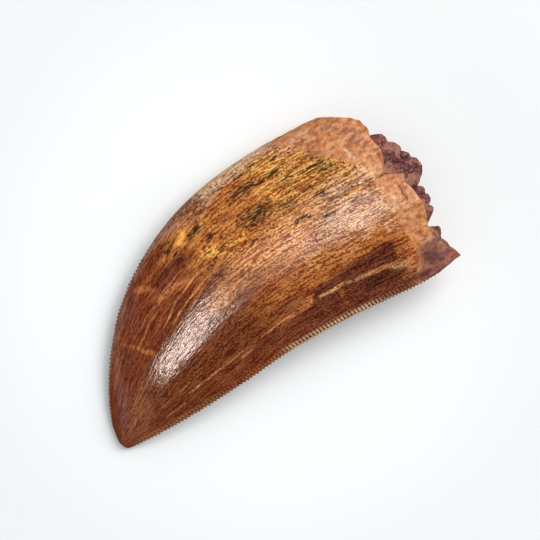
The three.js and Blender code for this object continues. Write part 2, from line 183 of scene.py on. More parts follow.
def outline(points):
    """A smooth line through points, followed by share of its length, and that length."""
    p = np.array(points, float)
    ends = np.vstack([p[:1], p, p[-1:]])
    t = np.linspace(0, 1, 400, endpoint=False)[:, None]
    stretches = []
    for before, start, end, after in zip(ends, ends[1:], ends[2:], ends[3:]):
        leaving, arriving = (end - before) / 2, (after - start) / 2
        cubic = 2 * start - 2 * end + leaving + arriving
        square = -3 * start + 3 * end - 2 * leaving - arriving
        stretches.append(((cubic * t + square) * t + leaving) * t + start)
    line = np.vstack(stretches + [p[-1:]])
    length = np.concatenate([[0], np.cumsum(np.linalg.norm(np.diff(line, axis=0), axis=1))])
    share = length / length[-1]
    return lambda at: np.stack([np.interp(at, share, line[:, k]) for k in (0, 1)], -1), length[-1]


def bisect(low, high, is_past, shape):
    """Where between low and high a rising test turns true, for every element of an array."""
    low, high = np.full(shape, float(low)), np.full(shape, float(high))
    for _ in range(BISECT_STEPS):
        middle = (low + high) / 2
        past = is_past(middle)
        high = np.where(past, middle, high)
        low = np.where(past, low, middle)
    return low


def rows(start, end, count):
    """Evenly spaced values past the start, up to the end."""
    return np.linspace(start, end, count + 1)[1:]


LATTICE = 64  # how many random values a noise has in each direction, before it repeats


@lru_cache(maxsize=None)
def lattice(seed):
    return np.random.default_rng(seed).uniform(-1, 1, (LATTICE,) * 3)


def noise(points, seed):
    """Smooth noise from -1 to 1 with features about one unit across."""
    cells = lattice(seed)
    base = np.floor(points).astype(int)
    t = points - base
    t = t * t * (3 - 2 * t)
    total = np.zeros(points.shape[:-1])
    for corner in product((0, 1), repeat=3):
        weight = np.prod(np.where(corner, t, 1 - t), axis=-1)
        x, y, z = np.moveaxis((base + corner) % LATTICE, -1, 0)
        total += weight * cells[x, y, z]
    return total


def rough_noise(points, seed, octaves=3):
    """Noise with finer and weaker layers added."""
    layers = [noise(points * 2**k, seed + k) / 2**k for k in range(octaves)]
    return sum(layers) / sum(0.5**k for k in range(octaves))


def layered_noise(points, layers, start=0):
    """A sum of rough noises, each written as its size, how dense it is and its seed."""
    return sum((size * rough_noise(points * density, seed) for size, density, seed in layers), start)


# ---- crown surface

distal, distal_length = outline(DISTAL_EDGE)
mesial, mesial_length = outline(MESIAL_EDGE)
outer_bulge, inner_bulge = through(OUTER_BULGE), through(INNER_BULGE)
rear_height, front_height = through(REAR_HEIGHT), through(FRONT_HEIGHT)
outer_crest, inner_crest = through(OUTER_CREST), through(INNER_CREST)
smooth_enamel_end = through(ENAMEL_END)
outer_rim = straight_through([(y, x) for x, y in OUTER_RIM])
inner_rim = straight_through([(y, x) for x, y in INNER_RIM])

CHIPS = 0.22  # millimetres that the broken edge wanders from its straight stretches
CHIP_FADE = 1.5  # millimetres at both ends of the break over which that fades
ENAMEL_WANDER = 0.014  # share of the length that the end of the enamel wanders
REAR_FADE = 12  # degrees beside the rear edge over which that fades
INNER_NOISE = 40  # how far the inner face's noise is moved, so that it isn't the outer face's


def along_line(v, seed):
    """Noise along one line."""
    return rough_noise(np.stack([v, v * 0 + 0.5, v * 0 + 0.5], -1), seed)


def across_at(turn):
    """How far across the crown a turn is: 0 at the rear edge, 1 at the front."""
    return (1 + np.cos(turn)) / 2


def enamel_end(turn):
    """The station where the enamel ends. A radian is 57.3 degrees."""
    wander = ENAMEL_WANDER * along_line(turn * 5, 11) * ease((180 - np.abs(turn * 57.3)) / REAR_FADE)
    return smooth_enamel_end(np.cos(turn)) + wander


def past_enamel(station, turn):
    """0 on the enamel and 1 on the root."""
    return ease((station - enamel_end(turn)) / STEP_WIDTH + 0.5)


def section_shape(station, across, crest):
    """The height of a section over its chord, 0 at both edges and 1 at the crest."""
    rear = clamp01(1 - clamp01((crest - across) / crest) ** REAR_FULLNESS) ** REAR_SHARPNESS
    sharpness = mix(BLADE_SHARPNESS, ROUND_SHARPNESS, ramp(ROUND_FRONT, station))
    front = clamp01(1 - clamp01((across - crest) / (1 - crest)) ** FRONT_FULLNESS) ** sharpness
    return np.where(across < crest, rear, front)


def facet_depth(station, across):
    """How far the facet behind the front edge lies below the bulge."""
    past = (across - FACET_AT) / (1 - FACET_AT)
    past = (past + np.sqrt(past * past + FACET_SOFTNESS**2)) / 2
    strength = ramp(FACET_START, station) * (1 - ramp(FACET_END, station))
    return FACET_DEPTH * 4 * past * clamp01(1 - past) * strength


def crown_points(station, turn):
    """Points of the crown. The turn, in radians, is pi at the rear edge and 0 at the front, and below 0
    on the inner face."""
    station, turn = np.broadcast_arrays(station, turn)
    across = across_at(turn)
    outward = np.sin(turn) >= 0
    shape = section_shape(station, across, np.where(outward, outer_crest(station), inner_crest(station)))
    hollow = FLANGE_DEPTH * hump((across - FLANGE_AT) / FLANGE_HALF) * ramp(FLANGE_START, station)
    outer = outer_bulge(station) * shape - facet_depth(station, across) - hollow
    height = np.where(outward, outer, INNER_FLANGE * hollow - inner_bulge(station) * shape)
    height = height * (1 - past_enamel(station, turn) * ENAMEL_STEP / np.maximum(THIN, np.abs(height)))
    z = np.maximum(0, mix(rear_height(station), front_height(station), across) + height)
    flat = mix(distal(station), mesial(station), across[..., None])
    return np.concatenate([flat, z[..., None]], -1)


def turn_beside(station, turn, side, distance):
    """The turn on the surface that is a distance away from another, on one side of it."""
    station, turn, distance = np.broadcast_arrays(station, turn, distance)
    start = crown_points(station, turn)

    def is_past(angle):
        return np.linalg.norm(crown_points(station, turn + side * angle) - start, axis=-1) > distance

    return turn + side * bisect(0, 1.4, is_past, station.shape)


def broken_station(turn_at, columns):
    """Where each of a number of columns meets the broken edge."""
    rear_end, front_end = OUTER_RIM[0][1], OUTER_RIM[-1][1]

    def is_past(station):
        turn = turn_at(station)
        x, y, _ = np.moveaxis(crown_points(station, turn), -1, 0)
        rim = np.where(turn >= 0, outer_rim(y), inner_rim(y))
        chipped = CHIPS * along_line(y * 0.9 + INNER_NOISE * (turn < 0), 5)
        at_ends = ease((y - rear_end) / CHIP_FADE) * ease((front_end - y) / CHIP_FADE)
        return x > rim + chipped * at_ends

    return bisect(BROKEN_FROM, 1, is_past, (columns,))


# ---- meshes


class Shell:
    """A mesh under construction: its points, what is known at each of them, and its faces."""

    def __init__(self, *facts):
        self.parts = {name: [] for name in ("point", *facts)}
        self.faces = []
        self.count = 0

    def add(self, point, **facts):
        """Adds an array of points, with a value for each fact. Returns their indices in the same shape."""
        shape = point.shape[:-1]
        self.parts["point"].append(point.reshape(-1, 3))
        for name in self.parts:
            if name != "point":
                self.parts[name].append(np.broadcast_to(facts.get(name, 0.0), shape).ravel())
        made = self.count + np.arange(int(np.prod(shape))).reshape(shape)
        self.count += made.size
        return made

    def get(self, name):
        return np.concatenate(self.parts[name])

    def grid(self, index):
        """Faces between the rows and columns of a grid of indices."""
        corners = [index[:-1, :-1], index[1:, :-1], index[1:, 1:], index[:-1, 1:]]
        self.faces += np.stack(corners, -1).reshape(-1, 4).tolist()

    def rings(self, index):
        """Faces between closed rings, one in each row."""
        self.grid(np.concatenate([index, index[:, :1]], 1))

    def seam(self, left, right):
        """Faces between two lines of points that run side by side, each (places along it, indices)."""
        (left_at, left_index), (right_at, right_index) = left, right
        reached = [0, 0]
        for _, side in sorted([(at, 0) for at in left_at[1:]] + [(at, 1) for at in right_at[1:]]):
            corners = [left_index[reached[0]], right_index[reached[1]]]
            reached[side] += 1
            corners.insert(1, (left_index, right_index)[side][reached[side]])
            self.faces.append([int(corner) for corner in corners])

    def fan(self, middle, line):
        """Faces between one point and a line of points."""
        self.faces += [[int(middle), int(a), int(b)] for a, b in zip(line, line[1:])]


def closed(ring):
    return np.append(ring, ring[0])


def tip_spacing(count):
    """Stations of the first rows, close together at the point of the tooth."""
    return TIP_STATION * rows(0, 1, count) ** TIP_CROWDING


def distal_turn(station):
    return np.full(np.shape(station), np.pi)


def mesial_turn(station):
    return -np.radians(SWING_DEGREES) * ramp(SWING, station)


def beside(edge_turn, side):
    """The turns of the line where the denticles of an edge start, on one side of it."""
    at = np.linspace(0.045, 1, 500) ** 2
    turn = turn_beside(at, edge_turn(at), side, DENTICLE_LENGTH)
    return lambda station: np.interp(station, at, turn)


def face_sheet(from_turn, to_turn, count):
    """A face of the crown between two edges: the stations and turns of its rows and columns."""
    share = (np.arange(count) + 0.5) / count
    share = mix(share, np.arccos(1 - 2 * share) / np.pi, SIDE_CROWDING)

    def turn_at(station):
        return mix(from_turn(station), to_turn(station), share)

    end = broken_station(turn_at, count)
    step = end
    for _ in range(4):
        step = enamel_end(turn_at(step))
    station = np.concatenate([
        tip_spacing(TIP_ROWS)[:, None] + 0 * end,
        rows(TIP_STATION, step - STEP_WIDTH / 2, ENAMEL_ROWS),
        rows(step - STEP_WIDTH / 2, step + STEP_WIDTH / 2, STEP_ROWS),
        rows(step + STEP_WIDTH / 2, end, ROOT_ROWS),
    ])
    return station, turn_at(station)


NOTCH_FLOOR, NOTCH_SLOPE = 1.25, 2.2  # how wide the floor of a gap is, and how steep its sides are


def notch_profile(place):
    """1 in the middle of a gap between two denticles, and 0 on the denticle."""
    away = np.abs(place - np.round(place)) * 2
    return ease(NOTCH_FLOOR - away * NOTCH_SLOPE)


WEAR = 0.12  # millimetres that the most worn denticles have lost
ROW_SCALE = 60  # millimetres, about the length of a whole row


def cut_denticles(station, turn, place, distance, count, seed):
    """The points of an edge strip, moved in at the gaps between its denticles, and how far each one is on a
    denticle, from 0 to 1. The place counts denticles, and the distance is from the edge."""
    point = crown_points(station, turn)
    on_row = ease(place + 0.5) * ease(count - place + 0.5)
    fade = clamp01(np.minimum((place + 1) / ROW_FADE[0], (count - place + 1) / ROW_FADE[1])) * on_row
    worn = 0.5 + 0.5 * noise(np.stack([np.floor(place) * 0.73, place * 0, place * 0], -1), seed)
    swung = clamp01(-turn * (turn > -1.5) / np.radians(SWING_DEGREES))
    swung = np.median(swung, axis=1)[:, None] + 0 * swung
    lift = CARINA_HEIGHT * swung * ease((1 - place / count) * count * PITCH / ROW_SCALE / CARINA_END)
    lift = lift * ease(place / 3)
    notch = notch_profile(place)
    inner = np.sqrt(clamp01(1 - distance / DENTICLE_LENGTH))
    cut = (notch * (mix(NOTCH_DEPTH * fade, 0, swung) + lift) - lift) * inner
    cut = cut + WEAR * worn * fade * (1 - notch) * inner
    heart = (crown_points(station, np.pi / 2) + crown_points(station, -np.pi / 2)) / 2
    inward = heart - point
    inward /= np.linalg.norm(inward, axis=-1, keepdims=True)
    return point + inward * cut[..., None], (1 - notch) * fade * inner


def cavity_points(depth, angle, spare):
    """Points of the cavity wall: depth 0 is its mouth and 1 its inner end."""
    narrow = np.sqrt(1 - clamp01(depth) ** 1.7)
    y = np.maximum(0, CAVITY_HALF_WIDTH * narrow - spare) * np.cos(angle)
    z = np.maximum(0, CAVITY_HALF_HEIGHT * narrow - spare) * np.sin(angle)
    x = CAVITY_MOUTH - (CAVITY_DEPTH - spare) * depth
    return np.stack([x + 0 * y, CAVITY_Y + CAVITY_LEAN * depth + y, CAVITY_Z + CAVITY_ROLL * y + z], -1)


def cavity_end(spare):
    return cavity_points(np.array([1.0]), np.array([0.0]), spare)


# What is known at each point of the crown: its station and turn, whether it is on a denticle, how near it
# is to an edge with denticles, and whether it lies on the broken face.
CROWN_FACTS = ("station", "turn", "denticle", "edge", "broken")


def add_edge(shell, edge_turn, row, length, seed):
    """Adds the strip along an edge that carries its denticles. Returns the stations and the indices of its
    points."""
    count = round((row[1] - row[0]) * length / PITCH)
    offsets = DENTICLE_LENGTH * np.linspace(-1, 1, 2 * EDGE_COLUMNS + 1) * EDGE_REACH
    offsets = np.sign(offsets) * DENTICLE_LENGTH * (np.abs(offsets) / DENTICLE_LENGTH) ** EDGE_CROWDING

    def turn_at(station):
        beyond = -np.sign(offsets)
        return turn_beside(np.maximum(station, 0.002), edge_turn(station), beyond, np.abs(offsets))

    end = broken_station(turn_at, len(offsets))
    station = np.concatenate([
        tip_spacing(EDGE_TIP_ROWS)[:, None] + 0 * end,
        rows(TIP_STATION, row[0], EDGE_TIP_ROWS)[:, None] + 0 * end,
        rows(row[0], row[1], count * ROWS_PER_DENTICLE)[:, None] + 0 * end,
        rows(row[1] + 0 * end, end, EDGE_ROOT_ROWS),
    ])
    turn = turn_at(station)
    place = (station - row[0]) / (row[1] - row[0]) * count
    distance = np.abs(offsets) + 0 * station
    point, denticle = cut_denticles(station, turn, place, distance, count, seed)
    near = (1 - distance / DENTICLE_LENGTH) * (ease(place + 1) * ease(count - place + 1))
    return station, shell.add(point, station=station, turn=turn, denticle=denticle, edge=near)


def add_face(shell, from_turn, to_turn, count):
    """Adds a face of the crown. Returns the stations and the indices of its points."""
    station, turn = face_sheet(from_turn, to_turn, count)
    return station, shell.add(crown_points(station, turn), station=station, turn=turn)


def build_crown():
    """Both edges and both faces, joined to each other and at the point of the tooth, and the break."""
    shell = Shell(*CROWN_FACTS)
    tip = shell.add(crown_points(np.array([0.0]), np.array([1.0])), turn=1.0)[0]
    rear_inner = beside(distal_turn, 1)
    sheets = [
        add_edge(shell, distal_turn, DISTAL_ROW, distal_length, 31),
        add_face(shell, beside(distal_turn, -1), beside(mesial_turn, 1), OUTER_COLUMNS),
        add_edge(shell, mesial_turn, MESIAL_ROW, mesial_length, 32),
        add_face(shell, beside(mesial_turn, -1), lambda at: rear_inner(at) - 2 * np.pi, INNER_COLUMNS),
    ]
    for (station, index), (next_station, next_index) in zip(sheets, sheets[1:] + sheets[:1]):
        shell.grid(index)
        shell.fan(tip, index[0][::-1])
        left = (np.insert(station[:, -1], 0, 0), np.insert(index[:, -1], 0, tip))
        right = (np.insert(next_station[:, 0], 0, 0), np.insert(next_index[:, 0], 0, tip))
        shell.seam(left, right)
    build_break(shell, np.concatenate([index[-1] for _, index in sheets]))
    return shell


# How far in the broken face meets the cavity's wall: from the rim, and at least from the cavity's mouth.
MOUTH_BELOW_RIM, MOUTH_LEAST = 0.9, 0.8
BREAK_BULGE = 0.25  # millimetres that the broken face stands out between its edges
# Its lumps and grain, and those of the stone: size in millimetres, how dense, seed.
BREAK_GRAIN = [(0.45, 0.55, 41), (0.2, 1.9, 45)]
STONE_GRAIN = [(0.16, 0.8, 61), (0.17, 2.3, 64)]
LAST_RING, STONE_LAST_RING = 0.96, 0.97  # how far in they lie in the cavity, as a share of its depth


def build_break(shell, rim):
    """The broken face, from the rim in to the mouth of the cavity, and the cavity's wall."""
    points, turns = shell.get("point")[rim], shell.get("turn")[rim]
    y = points[:, 1] - CAVITY_Y
    z = points[:, 2] - CAVITY_Z - CAVITY_ROLL * y
    angle = np.arctan2(z / CAVITY_HALF_HEIGHT, y / CAVITY_HALF_WIDTH)
    mouth = np.maximum(MOUTH_LEAST, CAVITY_MOUTH - points[:, 0] + MOUTH_BELOW_RIM) / CAVITY_DEPTH
    share = (np.arange(1, BREAK_RINGS + 1) / BREAK_RINGS)[:, None]
    ring = mix(points, cavity_points(mouth, angle, 0), share[..., None])
    ring[..., 0] += np.sin(np.pi * share) * layered_noise(ring, BREAK_GRAIN, BREAK_BULGE)
    inner = mouth + (1 - mouth) * (np.arange(1, CAVITY_RINGS + 1) / CAVITY_RINGS)[:, None] * LAST_RING
    pocket = cavity_points(inner, angle, 0)
    index = shell.add(np.concatenate([ring, pocket]), station=0.99, turn=turns, broken=1.0)
    end = shell.add(cavity_end(0), station=0.99, broken=1.0)[0]
    shell.rings(np.concatenate([rim[None], index]))
    shell.fan(end, closed(index[-1])[::-1])


def build_stone():
    """The stone in the cavity, whose face past the break is a cluster of rounded lumps."""
    shell = Shell("height")
    angle = -2 * np.pi * np.arange(STONE_SIDES) / STONE_SIDES
    depth = np.linspace(STONE_LAST_RING, STONE_START, STONE_WALL_RINGS)[:, None]
    walls = shell.add(cavity_points(depth, angle, GAP), height=-1.0)
    share = np.arange(1, STONE_FACE_RINGS + 1) / (STONE_FACE_RINGS + 1)
    reach = 1 - share[:, None] ** STONE_CROWDING
    edge = cavity_points(STONE_START, angle, GAP)
    y = mix(CAVITY_Y, edge[:, 1], reach)
    z = mix(CAVITY_Z, edge[:, 2], reach)
    face = stone_face(y, z)
    grain = layered_noise(np.stack([face, y, z], -1), STONE_GRAIN)
    x = mix(edge[:, 0], face + grain, 1 - reach**STONE_EDGE)
    faces = shell.add(np.stack([x, y, z], -1), height=face - STONE_FACE + grain)
    shell.rings(np.concatenate([walls, faces]))
    centre = shell.get("point")[faces[-1]].mean(0)
    shell.fan(shell.add(centre[None], height=1.0)[0], closed(faces[-1])[::-1])
    shell.fan(shell.add(cavity_end(GAP), height=-1.0)[0], closed(walls[0]))
    return shell


def stone_face(y, z):
    """How far out the stone reaches: its lumps, blended into each other and into a flat face."""
    heights = [
        x - ((y - lump_y) ** 2 + (z - lump_z) ** 2) / (LUMP_FULLNESS * radius) - STONE_FACE
        for x, lump_y, lump_z, radius in LUMPS
    ]
    return STONE_FACE + LUMP_BLEND * np.log(1 + sum(np.exp(height / LUMP_BLEND) for height in heights))


# ---- relief


FLOW_LENGTH, FLOW_WIDTH = 62, 28  # the size, in millimetres, of the straightened crown
EVEN_WIDTH = 0.65  # how far its width is the same at every station, as a share
THIN_CHORD = 3  # millimetres: where the crown is narrower, it counts as this wide


def flow_coordinates(shell):
    """The crown straightened out, so that its wrinkles run along x: millimetres along, across and up."""
    point, station, turn = map(shell.get, ("point", "station", "turn"))
    chord = np.linalg.norm(mesial(station) - distal(station), axis=-1)
    scale = mix(chord, FLOW_WIDTH, EVEN_WIDTH)
    across = across_at(turn)
    middle = mix(rear_height(station), front_height(station), across)
    up = (point[:, 2] - middle) / np.maximum(chord, THIN_CHORD) * scale
    return np.stack([station * FLOW_LENGTH, (across - 0.5) * scale, up], -1)


def segment_distance(x, y, path):
    """The distance from each point to a line drawn through a list of places."""
    best = np.full(x.shape, np.inf)
    for (x0, y0), (x1, y1) in zip(path, path[1:]):
        dx, dy = x1 - x0, y1 - y0
        t = clamp01(((x - x0) * dx + (y - y0) * dy) / (dx * dx + dy * dy))
        best = np.minimum(best, np.hypot(x - x0 - t * dx, y - y0 - t * dy))
    return best


# Cracks of the outer face: a path in x, y, the half width and the depth in millimetres.
MAIN_CRACK = [(46.8, 10.2), (48.5, 9.8), (50.6, 9.5), (52.5, 9), (54.2, 8.5), (55.8, 8.1)]
CRACKS = [
    (MAIN_CRACK, 0.16, 0.28),
    ([(44.9, 15.8), (47.4, 15.6), (50.5, 15.75)], 0.12, 0.12),
    ([(56.3, 5.2), (55.9, 4.2), (56.1, 3.1)], 0.3, 0.35),
    ([(36, -0.3), (36.4, 0.05), (37.2, 0.1)], 0.15, 0.2),
]
# What stands out of it, the flap beside the main crack and a bead: x, y, half length, half width, height.
RAISED = [(55, 7, 3.4, 1.1, 0.16), (50.3, 18.5, 1.1, 0.8, 0.14)]
# Wrinkles of the enamel: their depth, how dense they are along, across and up, seed and octaves.
WRINKLES = [
    (0.04, (0.11, 0.35, 0.35), 72, 3), (0.014, (0.45, 1.5, 1.5), 75, 3), (0.01, (0.7, 2.4, 2.4), 78, 2),
]
SWAY, SWAY_DENSITY = 0.35, (0.35, 0.8, 0.8)  # how far they swing from side to side, and how often
PIT_DEPTH, PIT_DENSITY = 0.11, 0.75
CALM_TIP = 0.06  # share of the length over which the relief grows from nothing at the point of the tooth


def outer_relief(x, y, outer):
    """How far the outer face is pushed in by its cracks, less what stands out."""
    depth = 0 * x
    for path, half, deep in CRACKS:
        depth += deep * hump(segment_distance(x, y, path) / half)
    for cx, cy, rx, ry, height in RAISED:
        depth -= height * ease(1.6 - 1.6 * np.hypot((x - cx) / rx, (y - cy) / ry))
    return depth * outer


def carve_relief(shell, mesh):
    """Wrinkles along the enamel, pits in the root, and the cracks. Returns the moved points."""
    point, turn, station, broken = map(shell.get, ("point", "turn", "station", "broken"))
    flow = flow_coordinates(shell)
    skin = 1 - broken
    calm = clamp01(station / CALM_TIP) * skin * (1 - shell.get("edge"))
    wavy = flow + SWAY * noise(flow * SWAY_DENSITY, 71)[:, None] * (0, 1, 1)
    wrinkles = sum(deep * (1 + rough_noise(wavy * density, *how)) for deep, density, *how in WRINKLES)
    pits = PIT_DEPTH * (1 + rough_noise(point * PIT_DENSITY, 81, 4))
    depth = calm * mix(wrinkles, pits, past_enamel(station, turn))
    depth += outer_relief(point[:, 0], point[:, 1], skin * (np.sin(turn) > 0))
    normal = np.array([v.normal for v in mesh.vertices], float)
    return point - normal * depth[:, None]


# ---- stains


def srgb(text):
    """A colour written as in a paint programme, as linear light."""
    share = np.array([int(text[k : k + 2], 16) for k in (0, 2, 4)]) / 255
    return np.where(share < 0.04045, share / 12.92, ((share + 0.055) / 1.055) ** 2.4)


def paints(text):
    """The colours written in a text, with spaces between them."""
    return [srgb(word) for word in text.split()]


SIENNA, CHESTNUT, UMBER, RUST = paints("88492c 733b1b 76351a 94491c")
AMBER, TAN, SAND, COFFEE = paints("a35e2b c4824a b8865b 5f2d1d")
OCHRE, MUSTARD, ORANGE, GOLD = paints("b0692f c68d47 b86c38 da9642")
OLIVE, FAWN, STRAW, CREAM = paints("85602f b0703f bd8f52 e0bd92")
TAUPE, BEIGE, MAUVE, PLUM = paints("996c54 d3aa7f 845248 6b4238")
APRICOT, BUFF, PEACH, BRICK = paints("c07c4b d09765 c98c66 a5522f")
COCOA, SABLE, INK = paints("5c3018 2e1710 30212a")

# Where the facet behind the front edge, the hollow strip beside the rear edge and the strip of painted
# reflection along the
# front edge begin on the outer face: y at each x.
facet_line = straight_through([
    (0, 1.2), (3, 4), (5, 5.5), (10, 7.6), (15, 9.2), (20, 11), (26, 12.2), (31, 13),
])
flange_line = straight_through([
    (0, 0.2), (15, 0.2), (28, 0), (35.5, -0.3), (37, 0.1), (38, -0.4), (43, -1.5), (48, -2.8), (56, -5),
])
sheen_band_line = straight_through([
    (0, 2), (6, 8.8), (9, 12.3), (11, 14.5), (15, 17.4), (19, 19.2), (21, 20), (26, 20.8), (32, 21.5),
    (42, 21.6), (48, 20.5), (60, 18.5),
])

# Dabs of colour on the outer face: x, y, half length, half width, lean in degrees, colour, strength. Some
# are painted reflection.
DABS = [
    # the first dab, mauve along the front edge by the point, is partly its own mauve and partly painted
    # reflection
    (3.6, 5.6, 4.6, 1.1, 58, MAUVE, 0.6), (4.8, 3.4, 4.6, 0.7, 36, FAWN, 0.35),
    (7.5, 0.3, 4, 0.5, 2, COFFEE, 0.5), (23.8, 16.6, 2.4, 1.5, 12, UMBER, 0.8),
    (28.4, 14.9, 2, 1.1, -30, GOLD, 0.9), (25.9, 19.5, 1.7, 1.3, 20, GOLD, 0.8),
    # the taupe dab high along the front edge is painted reflection
    (32.3, 18, 2.2, 0.9, 5, UMBER, 0.5), (30.5, 20.8, 4.5, 0.8, 4, TAUPE, 0.55),
    # the beige dab high along the front edge is painted reflection
    (38, 22, 2.6, 0.8, 0, BEIGE, 0.7), (32.8, 14.4, 2.2, 1.2, 0, GOLD, 0.7),
    (46.7, 14.6, 2, 1.3, 0, GOLD, 0.7), (23, 14, 2, 0.8, 8, CHESTNUT, 0.5),
    (33, 1.3, 3.4, 1.1, 0, COFFEE, 0.6), (48, 3.2, 2, 1.2, 0, CREAM, 0.5),
    (36, 11.2, 1.6, 0.9, 0, AMBER, 0.6), (51, 6, 1.4, 1.2, 0, TAN, 0.5),
    (41, 16.4, 1.4, 1.6, 20, GOLD, 0.6), (44, 14.8, 2.6, 1, -5, GOLD, 0.4),
    (19.6, 14.1, 3.6, 0.8, -6, ORANGE, 0.85), (15.5, 12.6, 1.6, 0.7, -50, RUST, 0.5),
    (10.2, 11, 2.2, 0.3, -52, ORANGE, 0.45), (11.6, 8.9, 1.5, 0.4, -50, ORANGE, 0.8),
    (16.8, 16.8, 1.9, 0.7, -35, ORANGE, 0.7), (18.6, 17.8, 2.2, 0.6, 25, OCHRE, 0.5),
    (21, 18.4, 1.8, 0.7, 15, OCHRE, 0.6), (37, 15.2, 3.4, 1.8, 0, OLIVE, 0.7),
    (37.5, 19.2, 3, 1, 0, OLIVE, 0.5), (41.5, 13.4, 2.4, 1.2, 0, OLIVE, 0.45),
    (49.4, 14.6, 1.8, 1.4, 0, OLIVE, 0.5), (28.2, 18.6, 2.6, 0.8, 12, OLIVE, 0.5),
    (22.3, 18.4, 1.7, 1, 15, OCHRE, 0.85), (44.8, 9.4, 2.2, 0.7, -8, MUSTARD, 0.4),
    (50.4, 8.9, 1.8, 0.7, -10, MUSTARD, 0.8), (50.3, 7.5, 1.4, 0.6, -20, PLUM, 0.6),
    (40, 4.3, 3, 1.3, 5, MUSTARD, 0.7), (31, 5.6, 3.6, 1, 5, RUST, 0.5),
    (49, -1.2, 1.8, 1.5, 0, COFFEE, 0.7), (13, 15.8, 3.6, 1.3, 38, PLUM, 0.4),
    (8.6, 10.6, 2, 0.9, 50, PLUM, 0.35), (21.8, 16.4, 3.6, 1.3, 10, COFFEE, 0.6),
    (45.2, -3.9, 3.4, 1.3, -15, SABLE, 0.35), (19.5, -1.3, 2.6, 0.5, 5, AMBER, 0.4),
    (23, -0.4, 1.4, 0.25, 5, TAN, 0.5), (24.5, 8.6, 3.6, 1.6, 12, TAN, 0.5),
    (44, 3.2, 7, 1.8, -4, TAN, 0.45),
]
# Dabs on the root and on the end of the enamel. The two cream dabs and the pale buff dab at x 55, y -3.7
# are painted highlights.
ROOT_DABS = [
    (49.5, 16.6, 1.3, 0.8, 0, PLUM, 0.45), (46.7, 19.7, 1.8, 0.8, -20, PEACH, 0.7),
    (50.2, 18.4, 1.2, 0.9, 10, BRICK, 0.45), (53, 17, 1.6, 2.2, 0, APRICOT, 0.7),
    (51.9, 1.6, 1.3, 1.7, 0, BUFF, 0.95), (51.4, -1.2, 1.2, 1.5, 0, AMBER, 0.85),
    (55.3, 10.5, 0.9, 1.6, 0, APRICOT, 0.8), (56.9, 4.2, 0.9, 1.8, 0, ORANGE, 0.6),
    (49.6, -5.9, 1.6, 0.8, -12, FAWN, 0.6), (56.8, 6.6, 1.2, 1.2, -35, ORANGE, 0.55),
    (56.3, 4, 1.5, 0.32, 78, COFFEE, 0.85), (54.6, 2, 1.6, 3, 0, BUFF, 0.5),
    # the pale buff dab at x 55, y -3.7 is a painted highlight
    (55, -3.7, 1.3, 0.45, -8, BUFF, 0.7), (51, -5.3, 2, 1, -10, ORANGE, 0.95),
    (52, -3.4, 1.2, 1.4, 0, ORANGE, 0.7), (49.2, -4.2, 1.7, 0.7, -25, SAND, 0.7),
    (53.3, -5.6, 0.9, 0.8, 0, COFFEE, 0.7), (51.4, -7.6, 2.6, 0.8, -8, MAUVE, 0.9),
    (51, -7.4, 2.4, 0.5, -12, COFFEE, 0.75), (54, -6.4, 1.9, 1.1, -20, PLUM, 0.8),
    (56.2, 16.4, 1, 2.4, 0, APRICOT, 0.7), (56.2, 15, 0.8, 3, 0, TAUPE, 0.5),
    (47.6, 21, 5, 0.8, -10, PEACH, 0.7), (50, 19, 2.4, 1.1, -20, PEACH, 0.6),
    (53.8, 4, 0.9, 3.5, 0, BUFF, 0.6), (56.8, 6, 1, 1.6, 0, ORANGE, 0.45),
    (55.4, 1, 0.8, 2, 20, ORANGE, 0.35), (51.3, 11.6, 1.6, 1.6, 0, MUSTARD, 0.6),
    (55.9, -5.6, 1.2, 0.9, 30, PEACH, 0.5), (56.6, -8, 0.7, 0.8, 0, BRICK, 0.5),
    (54.4, 14, 1.6, 1, 30, BRICK, 0.4), (56.2, 10.2, 1.4, 1, 0, APRICOT, 0.7),
    (54.1, 10, 0.9, 2.4, 8, BUFF, 0.95), (51.2, 19.4, 1.2, 0.8, -20, ORANGE, 0.6),
    # the cream dab at x 50, y 20.6 is a painted highlight
    (50, 20.6, 1.4, 0.4, -15, CREAM, 0.35), (53.4, 18.8, 1.6, 0.7, -35, TAUPE, 0.6),
    # the cream dab at x 53.6, y 13.6 is a painted highlight
    (55, 16.2, 0.8, 2.2, 25, TAUPE, 0.45), (53.6, 13.6, 0.5, 1.4, 10, CREAM, 0.45),
]

# Short dark strokes, in the same way: most of them are sable, and so are written without a colour.
SABLE_STROKES = [
    (46.4, 11.65, 1.7, 0.22, -10, 0.6), (42.6, 10.3, 1.2, 0.22, -12, 0.8), (41.1, 10.5, 0.5, 0.3, 0, 0.7),
    (47.9, 15.75, 3.2, 0.17, 0, 0.75), (44.2, 20.2, 1, 0.2, 5, 0.8), (30.2, 14.5, 0.7, 0.22, 15, 0.6),
    (29.6, 16.9, 0.8, 0.25, 25, 0.6), (40.4, 18.6, 1.1, 0.22, 0, 0.55), (43, 18.5, 0.9, 0.24, 0, 0.6),
    (43.8, 16.8, 1.2, 0.2, 0, 0.5), (37.4, 19.7, 1.6, 0.22, 0, 0.55), (37.2, 15, 2.4, 0.2, 12, 0.6),
    (38.6, 13.9, 1, 0.2, 0, 0.5), (45, 8.5, 0.8, 0.4, 35, 0.5), (23.1, 18.9, 0.7, 0.35, 25, 0.75),
    (28.6, 19.1, 0.9, 0.3, 14, 0.75), (28.4, 13.8, 0.45, 0.3, 50, 0.6), (23.7, 17.9, 0.6, 0.22, 20, 0.7),
]
STROKES = [(*where, SABLE, strength) for *where, strength in SABLE_STROKES] + [
    (39.2, 21.3, 3, 0.3, -6, INK, 0.4), (34.2, 12.2, 1, 0.18, 12, UMBER, 0.8),
]

